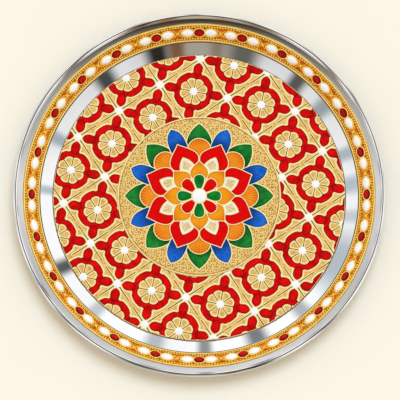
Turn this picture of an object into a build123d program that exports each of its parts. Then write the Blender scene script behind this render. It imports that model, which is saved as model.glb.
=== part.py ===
from build123d import *

import os
from math import atan2, ceil, cos, hypot, pi, radians, sin, tan

# Puja thali: a pressed steel tray dressed with enamelled gold sheets and a band of stones.
# Millimetres, +Z up. The tray stands on Z = 0 and its axis is the Z axis.

# Steel tray
rim_diameter = 300.0
steel_thickness = 0.8
bend_radius = 0.4  # inside of every press bend
bead_diameter = 3.5  # rolled edge, outside
curl_angle = 280.0  # how far round the edge is rolled
groove_depth = 0.6  # corner beside the rolled edge, below the middle of the roll
margin_run = 4.0  # plain strip between the gold band and the rolled edge
margin_rise = 0.9
band_run = 13.0  # sloping wall that carries the gold band
band_rise = 8.0
ledge_run = 0.9  # narrow flat where the gold band starts
wall_run = 9.7  # low polished wall round the floor
wall_rise = 3.6

# Adhesive films
adhesive_thickness = 0.15
adhesive_edge_gap = 0.5  # a film stops this far inside the piece that it holds

# Enamel in its cells
enamel_clearance = 0.12  # all round, between a fill and the wall of its cell
enamel_recess = 0.15  # a fill's surface below the top of its cell
smallest_fill = 2.0  # square millimetres; smaller scraps, cut off by an edge, are left out

# Embossed floor sheet: a square lattice of flowers, each in a red ring with four spokes
sheet_thickness = 1.0
sheet_edge_gap = 0.6  # to the foot of the wall
sheet_border = 0.3  # bare gold where an edge cuts the fills off
sheet_cell_depth = 0.55
lattice_pitch = 39.8  # from flower to flower
lattice_turn = 33.5  # degrees, a row of flowers from +X
lattice_offset = (6.1, -0.6)  # the flower nearest the middle, hidden by the medallion
leaf_strip_width = 6.8  # gold left between two red rings at its narrowest
red_ring_width = 5.05
flower_petals = 8
petal_end_radius = 4.3  # round end of a flower petal
dot_diameter = 6.4
dot_height = 0.95
dot_edge_height = 0.4
dot_seat_depth = 0.3
dot_wall = 0.4  # gold between a dot and the points of the spokes
spoke_root = 1.4  # how far a spoke starts inside the ring
spoke_root_width = 6.6
spoke_shoulder_width = 8.0
spoke_point_width = 10.0

# Medallion: a disc with a lotus of enamelled petals round a stone
medallion_thickness = 1.2
medallion_cell_depth = 0.6
ground_margin = 5.4  # stippled ground outside the longest petals
cell_wall = 0.7
centre_stone_diameter = 12.0
centre_stone_height = 1.7
centre_stone_edge_height = 0.8
drop_root = 3.0
green_drop_tip = 17.9
green_drop_width = 9.4
red_drop_tip = 18.2
red_drop_width = 9.8
inner_orange_foot = 13.5
inner_orange_tip = 29.4
inner_orange_foot_width = 9.2
inner_orange_shoulder_width = 23.6
inner_orange_point_width = 7.2
cream_foot = 21.0
cream_tip = 34.4
cream_width = 12.8
cream_point_width = 9.2
red_petal_foot = 24.5
red_petal_tip = 46.4
red_petal_foot_width = 16.4
red_petal_shoulder_width = 38.0
red_petal_point_width = 9.9
scallop_centre = 38.6
scallop_radius = 9.4
blue_foot = 40.5
blue_tip = 60.2
blue_width = 14.8
blue_point_width = 17.0
green_foot = 36.0
green_tip = 60.6
green_width = 22.4
green_point_width = 18.4

# Gold band on the sloping wall, with its stones
band_thickness = 0.9
band_end_gap = 0.4  # along the slope, at each edge of the band
white_stone_length = 10.0
red_stone_length = 8.0
stone_width = 6.0
stone_height = 1.9
stone_edge_height = 0.7
stone_gap = 0.4  # between a red stone and the white ones beside it
stone_seat_depth = 0.3
stone_clearance = 0.1  # all round, between a stone and its seat
motif_gap = 6.8  # about, from one group of three stones to the next

# Drawing rules of the pattern
LOTUS_PETALS = 8  # in each ring of the lotus
QUARTERS = 4  # the lotus, and the frame round a flower, repeat at every quarter turn
EIGHTH_TURN = 45.0  # from one row of the pattern to its diagonal
SHOULDER = 0.42  # a pointed petal's side has two handles, at these shares of its length
POINT = 0.26
DROP_NECK = 0.55  # handles of a drop, as shares of its width
DROP_SWELL = 0.7
CUT_MARGIN = 1.0  # how far a cutting tool reaches past the surface that it cuts

# Worked out from the sizes above
bead_radius = bead_diameter / 2
groove_radius = rim_diameter / 2 - bead_diameter
floor_radius = groove_radius - margin_run - band_run - ledge_run - wall_run
wall_top = Vector(floor_radius + wall_run, steel_thickness + wall_rise)
ledge_end = wall_top + Vector(ledge_run, 0)
band_top = ledge_end + Vector(band_run, band_rise)
groove = band_top + Vector(margin_run, margin_rise)
sheet_radius = floor_radius - sheet_edge_gap
sheet_bottom = steel_thickness + adhesive_thickness
sheet_top = sheet_bottom + sheet_thickness
medallion_radius = max(green_tip, blue_tip) + ground_margin
medallion_bottom = sheet_top + adhesive_thickness
medallion_top = medallion_bottom + medallion_thickness
medallion_cell_floor = medallion_top - medallion_cell_depth
red_ring_radius = (lattice_pitch - leaf_strip_width) / 2
flower_radius = red_ring_radius - red_ring_width
crossing_distance = lattice_pitch / 2 / cos(radians(EIGHTH_TURN))
spoke_tip = crossing_distance - dot_diameter / 2 - dot_wall
half_step = 180.0 / LOTUS_PETALS
band_slope = atan2(band_rise, band_run)
band_along = Vector(cos(band_slope), sin(band_slope))
band_up = Vector(-sin(band_slope), cos(band_slope))
band_start = ledge_end + band_along * band_end_gap
band_length = hypot(band_run, band_rise) - 2 * band_end_gap
band_surface = adhesive_thickness + band_thickness
band_middle = band_start + band_along * (band_length / 2) + band_up * band_surface


# Shared shapes


def turned(shape, angle):
    return Rot(0, 0, angle) * shape


def ring_of(shape, start, count):
    """Copies of a shape evenly round the middle."""
    return [turned(shape, start + 360.0 / count * i) for i in range(count)]


def disc(radius, bottom, thickness):
    return Pos(0, 0, bottom) * extrude(Circle(radius), thickness)


def petal(foot, tip, foot_width, shoulder_width, point_width, inset):
    """A pointed petal along +X, drawn inside its outline by inset. Two handles shape its side."""
    end = tip - inset
    length = end - foot
    handles = [
        (foot, foot_width / 2 - inset),
        (foot + SHOULDER * length, shoulder_width / 2 - inset),
        (end - POINT * length, point_width / 2 - inset),
        (end, 0),
    ]
    left_side = Bezier(*handles)
    right_side = Bezier(*[(x, -y) for x, y in handles])
    return make_face([left_side, right_side, Line(left_side @ 0, right_side @ 0)])


def drop(tip, full_width, inset):
    """A teardrop along +X, pointed at its root and round at its tip."""
    root = drop_root + inset
    end = tip - inset
    width = full_width - 2 * inset
    handles = [(root, 0), ((root + end) / 2, DROP_NECK * width), (end, DROP_SWELL * width), (end, 0)]
    return make_face([Bezier(*handles), Bezier(*[(x, -y) for x, y in handles])])


def marquise(length, width):
    """A pointed oval along X: what two equal circles share."""
    radius = (length**2 + width**2) / (4 * width)
    shift = radius - width / 2
    return Pos(0, shift) * Circle(radius) & Pos(0, -shift) * Circle(radius)


def domed(footprint, span, height, edge_height, middle=(0, 0)):
    """A prism with a round top, which falls to edge_height at half a span from the middle."""
    fall = height - edge_height
    radius = ((span / 2) ** 2 + fall**2) / (2 * fall)
    ball = Pos(*middle, height - radius) * Sphere(radius)
    return extrude(footprint, height) & ball


def prisms(sketches, bottom, height):
    """A separate prism on every face of the sketches, apart from scraps."""
    faces = [face for sketch in sketches for face in sketch.faces()]
    return [Pos(0, 0, bottom) * extrude(face, height) for face in faces if face.area > smallest_fill]


# Steel tray


def shifted(corners, distance):
    """The corners of an open polyline, moved to its right-hand side by distance."""
    ways = [(b - a).normalized() for a, b in zip(corners, corners[1:])]
    rights = [Vector(way.Y, -way.X) for way in ways]
    moved = []
    for corner, before, after in zip(corners, rights[:1] + rights, rights + rights[-1:]):
        moved.append(corner + (before + after) * (distance / (1 + before.dot(after))))
    return moved


def bend_radii(corners, left_radius, right_radius):
    """One radius for each inner corner, by the side that the line turns to there."""
    radii = []
    for a, b, c in zip(corners, corners[1:], corners[2:]):
        turns_left = (b - a).cross(c - b).Z > 0
        radii.append(left_radius if turns_left else right_radius)
    return radii


def steel_tray():
    """The pressed sheet: floor, low wall, ledge, band wall, margin and rolled edge."""
    roll_start = groove + Vector(0, groove_depth)
    corners = [Vector(0, steel_thickness), Vector(floor_radius, steel_thickness)]
    corners += [wall_top, ledge_end, band_top, groove, roll_start]
    under = shifted(corners, steel_thickness)
    outer_bend = bend_radius + steel_thickness
    upper_line = FilletPolyline(*corners, radius=bend_radii(corners, bend_radius, outer_bend))
    lower_line = FilletPolyline(*under, radius=bend_radii(under, outer_bend, bend_radius))
    roll_centre = roll_start + Vector(bead_radius, 0)
    roll_outside = CenterArc(roll_centre, bead_radius, 180, -curl_angle)
    roll_inside = CenterArc(roll_centre, bead_radius - steel_thickness, 180, -curl_angle)
    axis_line = Line(upper_line @ 0, lower_line @ 0)
    rolled_end = Line(roll_outside @ 1, roll_inside @ 1)
    outline = [upper_line, roll_outside, rolled_end, roll_inside, lower_line, axis_line]
    return revolve(Plane.XZ * make_face(outline), Axis.Z)


# Floor sheet and its fills


def flower_outline(grow):
    """A flower's round petal ends about its middle."""
    end_place = flower_radius - petal_end_radius
    petal_end = Pos(end_place, 0) * Circle(petal_end_radius + grow)
    half_petal = 180.0 / flower_petals
    return Circle(end_place) + ring_of(petal_end, half_petal, flower_petals)


def red_frame(inset):
    """The red ring round a flower, with a spoke towards each of the four crossings."""
    root = red_ring_radius - spoke_root
    spoke = petal(root, spoke_tip, spoke_root_width, spoke_shoulder_width, spoke_point_width, inset)
    return Circle(red_ring_radius - inset) + ring_of(spoke, 0, QUARTERS) - flower_outline(inset)


def lattice_places(shift):
    """Middles of the flowers, or of the crossings if shift is a half, that the sheet may reach."""
    reach = ceil((sheet_radius + hypot(*lattice_offset)) / lattice_pitch) + 1
    steps = [i + shift for i in range(-reach, reach + 1)]
    across = Vector(lattice_pitch, 0).rotate(Axis.Z, lattice_turn)
    along = Vector(0, lattice_pitch).rotate(Axis.Z, lattice_turn)
    places = [Vector(*lattice_offset) + across * i + along * j for i in steps for j in steps]
    return [place for place in places if place.length < sheet_radius + lattice_pitch]


def shown_ring(inset):
    """Where the floor sheet may hold fills: outside the medallion and inside its own edge."""
    border = sheet_border + inset
    return Circle(sheet_radius - border) - Circle(medallion_radius + border)


def red_frames(inset):
    """Footprints of the red fills, cut off by the medallion and by the sheet's edge."""
    frame = turned(red_frame(inset), lattice_turn + EIGHTH_TURN)
    ring = shown_ring(inset)
    return [Pos(place.X, place.Y) * frame & ring for place in lattice_places(0)]


def dots(shift, inset):
    """Footprints of the white dots, each with its middle."""
    ring = shown_ring(inset)
    footprint = Circle(dot_diameter / 2 - inset)
    middles = [(place.X, place.Y) for place in lattice_places(shift)]
    cut = [(Pos(*middle) * footprint & ring, middle) for middle in middles]
    return [(sketch, middle) for sketch, middle in cut if sketch.area > smallest_fill]


def floor_sheet():
    cells = prisms(red_frames(0), sheet_top - sheet_cell_depth, sheet_cell_depth + CUT_MARGIN)
    seats = [footprint for footprint, _ in dots(0, 0) + dots(0.5, 0)]
    cells += prisms(seats, sheet_top - dot_seat_depth, dot_seat_depth + CUT_MARGIN)
    return disc(sheet_radius, sheet_bottom, sheet_thickness) - cells


def floor_red_enamel():
    depth = sheet_cell_depth - enamel_recess
    return prisms(red_frames(enamel_clearance), sheet_top - sheet_cell_depth, depth)


def white_dots(shift):
    seat = Pos(0, 0, sheet_top - dot_seat_depth)
    found = dots(shift, enamel_clearance)
    return [
        seat * domed(footprint, dot_diameter, dot_height, dot_edge_height, middle)
        for footprint, middle in found
    ]


# Medallion and its fills


def lotus_wedge(inset):
    """One petal's share of the full turn, about +X."""
    start = inset / sin(radians(half_step))
    spread = (medallion_radius - start) * tan(radians(half_step))
    corners = [(start, 0), (medallion_radius, spread), (medallion_radius, -spread)]
    return make_face(Polyline(*corners, close=True))


def lotus_shapes(inset):
    """Every ring of the lotus from the front to the back, its shapes drawn smaller by inset."""

    def pointed(foot, tip, width, point_width):
        return petal(foot, tip, width, width, point_width, inset)

    centre = Circle(centre_stone_diameter / 2 - inset)
    inner_orange = petal(
        inner_orange_foot,
        inner_orange_tip,
        inner_orange_foot_width,
        inner_orange_shoulder_width,
        inner_orange_point_width,
        inset,
    )
    cream = pointed(cream_foot, cream_tip, cream_width, cream_point_width)
    red = petal(
        red_petal_foot,
        red_petal_tip,
        red_petal_foot_width,
        red_petal_shoulder_width,
        red_petal_point_width,
        inset,
    )
    scallop = Pos(scallop_centre, 0) * Circle(scallop_radius - inset)
    blue = pointed(blue_foot, blue_tip, blue_width, blue_point_width)
    green = pointed(green_foot, green_tip, green_width, green_point_width)
    return {
        "centre_stone": ring_of(centre, 0, 1),
        "centre_green_drops": ring_of(drop(green_drop_tip, green_drop_width, inset), 0, QUARTERS),
        "centre_red_drops": ring_of(drop(red_drop_tip, red_drop_width, inset), EIGHTH_TURN, QUARTERS),
        "inner_orange_petals": ring_of(inner_orange, 0, LOTUS_PETALS),
        "cream_petals": ring_of(cream, half_step, LOTUS_PETALS),
        "red_petals": ring_of(red & lotus_wedge(inset), half_step, LOTUS_PETALS),
        "outer_orange_petals": ring_of(scallop, 0, LOTUS_PETALS),
        "blue_petals": ring_of(blue, half_step, LOTUS_PETALS),
        "green_petals": ring_of(green, 0, LOTUS_PETALS),
    }


def lotus_cells(wall):
    """Cells by ring: each shape less a wall, and less all the shapes in front of it."""
    inner_shapes = lotus_shapes(wall / 2)
    outer_shapes = lotus_shapes(-wall / 2)
    cells = {}
    in_front = []
    for name, shapes in inner_shapes.items():
        in_one_quarter = shapes[: ceil(len(shapes) / QUARTERS)]
        trimmed = [shape - in_front if in_front else shape for shape in in_one_quarter]
        copies = min(len(shapes), QUARTERS)
        cells[name] = [copy for shape in trimmed for copy in ring_of(shape, 0, copies)]
        in_front += outer_shapes[name]
    return cells


def medallion_disc():
    cells = [cell for ring in lotus_cells(cell_wall).values() for cell in ring]
    cut = prisms(cells, medallion_cell_floor, medallion_cell_depth + CUT_MARGIN)
    return disc(medallion_radius, medallion_bottom, medallion_thickness) - cut


def medallion_fills():
    """Enamel of every ring of the lotus, with the stone in the middle."""
    depth = medallion_cell_depth - enamel_recess
    cells = lotus_cells(cell_wall + 2 * enamel_clearance)
    (stone_seat,) = cells.pop("centre_stone")
    stone = domed(
        stone_seat, centre_stone_diameter, centre_stone_height, centre_stone_edge_height
    )
    fills = {name: prisms(ring, medallion_cell_floor, depth) for name, ring in cells.items()}
    fills["centre_stone"] = [Pos(0, 0, medallion_cell_floor) * stone]
    return fills


# Gold band and its stones


def band_layer(low, high):
    """A ring on the sloping wall, between two heights above the steel."""
    end = band_start + band_along * band_length
    corners = [band_start + band_up * low, end + band_up * low]
    corners += [end + band_up * high, band_start + band_up * high]
    return revolve(Plane.XZ * make_face(Polyline(*corners, close=True)), Axis.Z)


def stone_seat_planes(along):
    """Floors of the stone seats: one in every group of stones, along the band from its middle."""
    motif_length = red_stone_length + 2 * white_stone_length + 2 * stone_gap + motif_gap
    motifs = round(2 * pi * band_middle.X / motif_length)
    seat = band_middle - band_up * stone_seat_depth
    planes = []
    for i in range(motifs):
        angle = 2 * pi * i / motifs + along / band_middle.X
        outward = Vector(cos(angle), sin(angle), 0)
        tangent = Vector(-sin(angle), cos(angle), 0)
        place = outward * seat.X + Vector(0, 0, seat.Y)
        up = outward * band_up.X + Vector(0, 0, band_up.Y)
        planes.append(Plane(place, x_dir=tangent, z_dir=up))
    return planes


def stones(footprint, length, offsets):
    stone = domed(footprint, length, stone_height, stone_edge_height)
    return [plane * stone for offset in offsets for plane in stone_seat_planes(offset)]


def stone_seats(footprint, offsets):
    seat = extrude(footprint, stone_seat_depth + CUT_MARGIN)
    return [plane * seat for offset in offsets for plane in stone_seat_planes(offset)]


def rim_band_and_stones():
    """The gold band with a seat for every stone, the white stones and the red stones."""
    white_offset = (red_stone_length + white_stone_length) / 2 + stone_gap
    white_offsets = [-white_offset, white_offset]
    seat_width = stone_width + 2 * stone_clearance
    white_seat = marquise(white_stone_length + 2 * stone_clearance, seat_width)
    red_seat = Ellipse(red_stone_length / 2 + stone_clearance, seat_width / 2)
    seats = stone_seats(white_seat, white_offsets) + stone_seats(red_seat, [0])
    band = band_layer(adhesive_thickness, band_surface) - seats
    white = stones(marquise(white_stone_length, stone_width), white_stone_length, white_offsets)
    red = stones(Ellipse(red_stone_length / 2, stone_width / 2), red_stone_length, [0])
    return band, white, red


def all_nodes():
    """Every node of the thali by name, each a list of separate pieces."""
    rim_band, rim_white_stones, rim_red_stones = rim_band_and_stones()
    nodes = {
        "steel_thali": [steel_tray()],
        "floor_adhesive": [disc(sheet_radius - adhesive_edge_gap, steel_thickness, adhesive_thickness)],
        "floor_sheet": [floor_sheet()],
        "floor_red_enamel": floor_red_enamel(),
        "flower_centre_dots": white_dots(0),
        "lattice_crossing_dots": white_dots(0.5),
        "medallion_adhesive": [disc(medallion_radius - adhesive_edge_gap, sheet_top, adhesive_thickness)],
        "medallion_disc": [medallion_disc()],
        "rim_band_adhesive": [band_layer(0, adhesive_thickness)],
        "rim_band": [rim_band],
        "rim_white_stones": rim_white_stones,
        "rim_red_stones": rim_red_stones,
    }
    for name, pieces in medallion_fills().items():
        nodes["medallion_" + name] = pieces
    return nodes


os.makedirs("parts", exist_ok=True)
for name, pieces in all_nodes().items():
    solids = [solid for piece in pieces for solid in piece.solids()]
    export_step(Compound(solids) if len(solids) > 1 else solids[0], f"parts/{name}.step")
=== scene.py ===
from math import atan2, cos, hypot, pi, radians, sin, sqrt, tan

import bpy
import numpy as np
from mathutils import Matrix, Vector
from mathutils.geometry import delaunay_2d_cdt


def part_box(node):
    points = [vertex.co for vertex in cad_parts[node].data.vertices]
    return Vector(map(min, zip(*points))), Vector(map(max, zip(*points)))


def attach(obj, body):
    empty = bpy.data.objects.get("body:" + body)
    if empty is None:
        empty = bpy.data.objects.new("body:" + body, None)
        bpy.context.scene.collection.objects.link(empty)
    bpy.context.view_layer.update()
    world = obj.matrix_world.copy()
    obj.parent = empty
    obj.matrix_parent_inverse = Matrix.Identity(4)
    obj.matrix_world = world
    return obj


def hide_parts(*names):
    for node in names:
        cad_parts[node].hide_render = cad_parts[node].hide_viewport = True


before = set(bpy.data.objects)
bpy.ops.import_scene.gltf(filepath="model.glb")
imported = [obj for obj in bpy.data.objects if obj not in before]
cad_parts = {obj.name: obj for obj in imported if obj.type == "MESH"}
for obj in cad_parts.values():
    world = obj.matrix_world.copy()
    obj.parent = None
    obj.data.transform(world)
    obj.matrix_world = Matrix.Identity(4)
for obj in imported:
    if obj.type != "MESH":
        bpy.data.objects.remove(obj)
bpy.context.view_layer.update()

# Looks of a puja thali: a polished steel tray with embossed gold sheets, enamel and stones.
# Sizes are in millimetres, as in the solids, and become metres where a mesh is made.
MM = 0.001


def lowest(node):
    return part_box(node)[0].z / MM


def highest(node):
    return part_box(node)[1].z / MM


def reach(node):
    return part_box(node)[1].x / MM


# Steel tray
steel_thickness = 0.8
bend_radius = 0.4
bead_diameter = 3.5
curl_angle = radians(280)
groove_depth = 0.6
margin_run = 4.0
margin_rise = 0.9
band_run = 13.0
band_rise = 8.0
ledge_run = 0.9
wall_run = 9.7
wall_rise = 3.6

# Floor pattern
lattice_pitch = 39.8
lattice_turn = radians(33.5)
lattice_offset = np.array([6.1, -0.6])
sheet_border = 0.3
leaf_strip_width = 6.8
red_ring_width = 5.05
flower_petals = 8
petal_end_radius = 4.3
dot_radius = 3.2
dot_edge_height = 0.4
dot_wall = 0.4
spoke_root = 1.4
spoke_widths = (6.6, 8.0, 10.0)

# Lotus of the medallion
cell_wall = 0.7
half_step = radians(22.5)
drop_root = 3.0
centre_stone_radius = 6.0
scallop_centre = 38.6
scallop_radius = 9.4

# Rim band and its stones
adhesive_thickness = 0.15
band_thickness = 0.9
band_end_gap = 0.4
white_stone_length = 10.0
red_stone_length = 8.0
stone_width = 6.0
stone_height = 1.9
stone_edge_height = 0.7
stone_gap = 0.4
stone_seat_depth = 0.3
motifs = 24

# Fits and drawing rules
fill_gap = 0.03
fill_rise = 0.08
shoulder_share = 0.42
point_share = 0.26
drop_neck = 0.55
drop_swell = 0.7
curve_points = 28
bend_points = 6
roll_points = 40
inner_roll_points = 26
tray_segments = 300
weld = 0.06
seam_tolerance = 1e-4
thinning = 0.015
circle_spacing = 1.2
run_spacing = 1.6

# Heights and radii that the solids give
rim_radius = reach("steel_thali")
sheet_radius = reach("floor_sheet")
sheet_bottom = lowest("floor_sheet")
sheet_top = highest("floor_sheet")
floor_enamel_bottom = lowest("floor_red_enamel")
floor_enamel_top = highest("floor_red_enamel")
dot_bottom = lowest("flower_centre_dots")
dot_height = highest("flower_centre_dots") - dot_bottom
medallion_radius = reach("medallion_disc")
medallion_bottom = lowest("medallion_disc")
medallion_top = highest("medallion_disc")
fill_bottom = lowest("medallion_red_petals")
fill_top = highest("medallion_red_petals")
centre_stone_top = highest("medallion_centre_stone")

# Worked out from them
bead_radius = bead_diameter / 2
groove_radius = rim_radius - bead_diameter
floor_radius = groove_radius - margin_run - band_run - ledge_run - wall_run
wall_top = np.array([floor_radius + wall_run, steel_thickness + wall_rise])
ledge_end = wall_top + (ledge_run, 0)
band_top = ledge_end + (band_run, band_rise)
groove = band_top + (margin_run, margin_rise)
band_slope = atan2(band_rise, band_run)
band_along = np.array([cos(band_slope), sin(band_slope)])
band_up = np.array([-sin(band_slope), cos(band_slope)])
band_length = hypot(band_run, band_rise) - 2 * band_end_gap
band_middle = ledge_end + band_along * (band_end_gap + band_length / 2)
band_surface = band_middle + band_up * (adhesive_thickness + band_thickness)
motif_length = 2 * pi * band_surface[0] / motifs
red_ring_radius = (lattice_pitch - leaf_strip_width) / 2
flower_radius = red_ring_radius - red_ring_width
petal_end_place = flower_radius - petal_end_radius
crossing_distance = lattice_pitch / sqrt(2)
spoke_tip = crossing_distance - dot_radius - dot_wall


# Outlines and distances


def directions(angles):
    """Unit vectors at some angles from +X."""
    return np.stack([np.cos(angles), np.sin(angles)], 1)


def bezier(handles):
    """Points along a cubic curve with four handles."""
    share = np.linspace(0, 1, curve_points)[:, None]
    a, b, c, d = np.array(handles, float)
    rest = 1 - share
    return rest**3 * a + 3 * rest**2 * share * b + 3 * rest * share**2 * c + share**3 * d


def both_sides(half):
    """A closed outline from its half on one side of the X axis."""
    return np.vstack([half, half[::-1] * (1, -1)])


def petal(foot, tip, widths):
    """A pointed petal along +X, shaped by its widths at the foot, the shoulder and the point."""
    foot_width, shoulder_width, point_width = widths
    length = tip - foot
    handles = [
        (foot, foot_width / 2),
        (foot + shoulder_share * length, shoulder_width / 2),
        (tip - point_share * length, point_width / 2),
        (tip, 0),
    ]
    return both_sides(bezier(handles))


def drop(tip, width):
    """A teardrop along +X, pointed at its root and round at its tip."""
    middle = (drop_root + tip) / 2
    handles = [(drop_root, 0), (middle, drop_neck * width), (tip, drop_swell * width), (tip, 0)]
    return both_sides(bezier(handles))


def oval(length, width, middle=0.0):
    angles = np.linspace(0, 2 * pi, 2 * curve_points, endpoint=False)
    return directions(angles) * (length / 2, width / 2) + (middle, 0)


def marquise(length, width, middle=0.0):
    """A pointed oval along X, of two equal arcs."""
    radius = (length**2 + width**2) / (4 * width)
    across = np.linspace(-length / 2, length / 2, curve_points)
    rise = np.sqrt(radius**2 - across**2) - (radius - width / 2)
    upper = np.stack([middle + across, np.maximum(rise, 0)], 1)
    return np.vstack([upper, upper[-2:0:-1] * (1, -1)])


def polygon_distance(points, outline):
    """Distance of each point from a closed outline, negative inside it."""
    steps = np.roll(outline, -1, axis=0) - outline
    lengths = np.maximum((steps**2).sum(1), 1e-12)
    distances = []
    for some in np.array_split(points, len(points) // 20000 + 1):
        offsets = some[:, None] - outline
        shares = np.clip((offsets * steps).sum(2) / lengths, 0, 1)
        gaps = offsets - shares[..., None] * steps
        nearest = np.sqrt((gaps**2).sum(2).min(1))
        crossed = offsets[..., 0] * steps[:, 1] - offsets[..., 1] * steps[:, 0]
        spans = (offsets[..., 1] >= 0) != (offsets[..., 1] - steps[:, 1] >= 0)
        to_right = (crossed < 0) == (steps[:, 1] > 0)
        inside = (spans & to_right).sum(1) % 2 == 1
        distances.append(np.where(inside, -nearest, nearest))
    return np.concatenate(distances)


def grid_of(xs, ys):
    """Points at every pair of two rows of places."""
    return np.stack(np.meshgrid(xs, ys), -1)


def sampled(field, size, spacing):
    """A field worked out once on a fine grid from the middle, and then read between the grid's points."""
    xs, ys = (np.arange(0, end + spacing, spacing) for end in size)
    grid = grid_of(xs, ys).reshape(-1, 2)
    table = np.atleast_2d(field(grid)).reshape(-1, len(ys), len(xs))

    def read(points):
        places = points / spacing
        column = np.clip(places[:, 0].astype(int), 0, len(xs) - 2)
        row = np.clip(places[:, 1].astype(int), 0, len(ys) - 2)
        right = np.clip(places[:, 0] - column, 0, 1)
        down = np.clip(places[:, 1] - row, 0, 1)
        upper = table[:, row, column] * (1 - right) + table[:, row, column + 1] * right
        lower = table[:, row + 1, column] * (1 - right) + table[:, row + 1, column + 1] * right
        return upper * (1 - down) + lower * down

    return read


def length_of(vectors):
    return np.hypot(vectors[:, 0], vectors[:, 1])


def folded(points, turn, copies):
    """Points turned into the share of one of some copies round the middle, about +X."""
    step = 2 * pi / copies
    angles = np.arctan2(points[:, 1], points[:, 0]) - turn
    angles -= step * np.round(angles / step)
    return length_of(points)[:, None] * directions(angles)


# Meshes made from contours of distance fields


def contours(field, levels, low, high, spacing):
    """Lines along which a field has one of the levels, as points and the edges between them."""
    xs, ys = (np.arange(round((high[i] - low[i]) / spacing) + 1) * spacing + low[i] for i in range(2))
    grid = grid_of(xs, ys)
    values = field(grid.reshape(-1, 2)).reshape(grid.shape[:2])
    return [contour(field, level, grid, values - level, spacing) for level in levels]


def contour(field, level, grid, values, spacing):
    rows, columns = values.shape
    numbers = np.full((3, rows, columns), -1)
    places = []
    count = 0
    for kind, (down, right) in enumerate([(0, 1), (1, 0), (1, 1)]):
        first = values[: rows - down, : columns - right]
        second = values[down:, right:]
        crossed = (first < 0) != (second < 0)
        share = (first[crossed] / (first - second)[crossed])[:, None]
        start = grid[: rows - down, : columns - right][crossed]
        places.append(start + share * (right * spacing, down * spacing))
        numbers[kind, : rows - down, : columns - right][crossed] = count + np.arange(crossed.sum())
        count += crossed.sum()
    across, down, slant = numbers
    lower = np.stack([across[:-1, :-1], down[:-1, 1:], slant[:-1, :-1]], -1).reshape(-1, 3)
    upper = np.stack([across[1:, :-1], down[:-1, :-1], slant[:-1, :-1]], -1).reshape(-1, 3)
    triples = np.vstack([lower, upper])
    triples = triples[(triples >= 0).sum(1) == 2]
    return settled(field, level, np.vstack(places), spacing), triples[triples >= 0].reshape(-1, 2)


def settled(field, level, points, spacing):
    """Points moved onto the level of a field that they lie near."""
    nudge = spacing * 0.02
    furthest = spacing / 3
    for _ in range(2):
        error = field(points) - level
        slope_x = (field(points + (nudge, 0)) - error - level) / nudge
        slope_y = (field(points + (0, nudge)) - error - level) / nudge
        steep = np.maximum(slope_x**2 + slope_y**2, 0.2)
        move = np.stack([slope_x, slope_y], 1) * (error / steep)[:, None]
        points = points - np.clip(move, -furthest, furthest)
    return points


def loops_of(edges):
    """Numbers of the points along each closed line that the edges make."""
    beside = {}
    for start, end in edges.tolist():
        beside.setdefault(start, []).append(end)
        beside.setdefault(end, []).append(start)
    loops = []
    while beside:
        here, ways = beside.popitem()
        loop = [here]
        ahead = ways[0]
        while ahead in beside:
            ways = beside.pop(ahead)
            behind = loop[-1]
            loop.append(ahead)
            ahead = ways[1] if ways[0] == behind else ways[0]
        loops.append(loop)
    return loops


def thinned(line):
    """Closed lines with fewer points where they hardly bend, and all of their corners."""
    points, edges = line
    thin = []
    for loop in loops_of(edges):
        outline = points[loop]
        before = outline - np.roll(outline, 1, axis=0)
        after = np.roll(before, -1, axis=0)
        bend = np.arctan2(before[:, 0] * after[:, 1] - before[:, 1] * after[:, 0], (before * after).sum(1))
        outline = np.roll(outline, -np.abs(bend).argmax(), axis=0)
        kept = [0]
        for end in range(2, len(outline) + 1):
            chord = outline[end % len(outline)] - outline[kept[-1]]
            offsets = outline[kept[-1] + 1 : end] - outline[kept[-1]]
            off_line = np.abs(offsets[:, 0] * chord[1] - offsets[:, 1] * chord[0])
            length = max(hypot(*chord), weld)
            if off_line.max() > thinning * length or length > run_spacing:
                kept.append(end - 1)
        thin.append(closed_line(outline[kept]))
    return joined(thin)


def joined(lines):
    """Several lines as one."""
    starts = np.cumsum([0] + [len(points) for points, _ in lines])
    edges = [edges + start for (_, edges), start in zip(lines, starts)]
    points = [points for points, _ in lines]
    return np.vstack([np.zeros((0, 2)), *points]), np.vstack([np.zeros((0, 2), int), *edges])


def closed_line(points):
    count = len(points)
    order = np.arange(count)
    return points, np.stack([order, (order + 1) % count], 1)


def circle(radius, spacing):
    count = int(2 * pi * radius / spacing)
    angles = np.linspace(0, 2 * pi, count, endpoint=False)
    return closed_line(radius * directions(angles))


def triangles_over(points, edges, tolerance):
    """Points and triangles of a flat mesh that has the given edges."""
    corners = [Vector(point) for point in points.tolist()]
    found = delaunay_2d_cdt(corners, edges.tolist(), [], 0, tolerance, False)
    return np.array([corner[:] for corner in found[0]]), np.array(found[2])


def triangulate(lines, keep):
    """Triangles between the lines, apart from those whose middles aren't kept."""
    places, triangles = triangles_over(*joined(lines), weld)
    triangles = triangles[keep(places[triangles].mean(1))]
    used, triangles = np.unique(triangles, return_inverse=True)
    return places[used], upright(places[used], triangles.reshape(-1, 3))


def upright(places, triangles):
    """The same triangles, all turning anticlockwise and none without area."""
    a, b, c = (places[triangles[:, i]] for i in range(3))
    area = (b - a)[:, 0] * (c - a)[:, 1] - (b - a)[:, 1] * (c - a)[:, 0]
    triangles = np.where(area[:, None] < 0, triangles[:, ::-1], triangles)
    return triangles[np.abs(area) > 1e-9]


def outer_edges(triangles):
    """Edges that belong to one triangle only, in its direction."""
    edges = np.vstack([triangles[:, [0, 1]], triangles[:, [1, 2]], triangles[:, [2, 0]]])
    keys = np.sort(edges, 1) @ (triangles.max() + 1, 1)
    _, index, count = np.unique(keys, return_index=True, return_counts=True)
    return edges[index[count == 1]]


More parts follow.
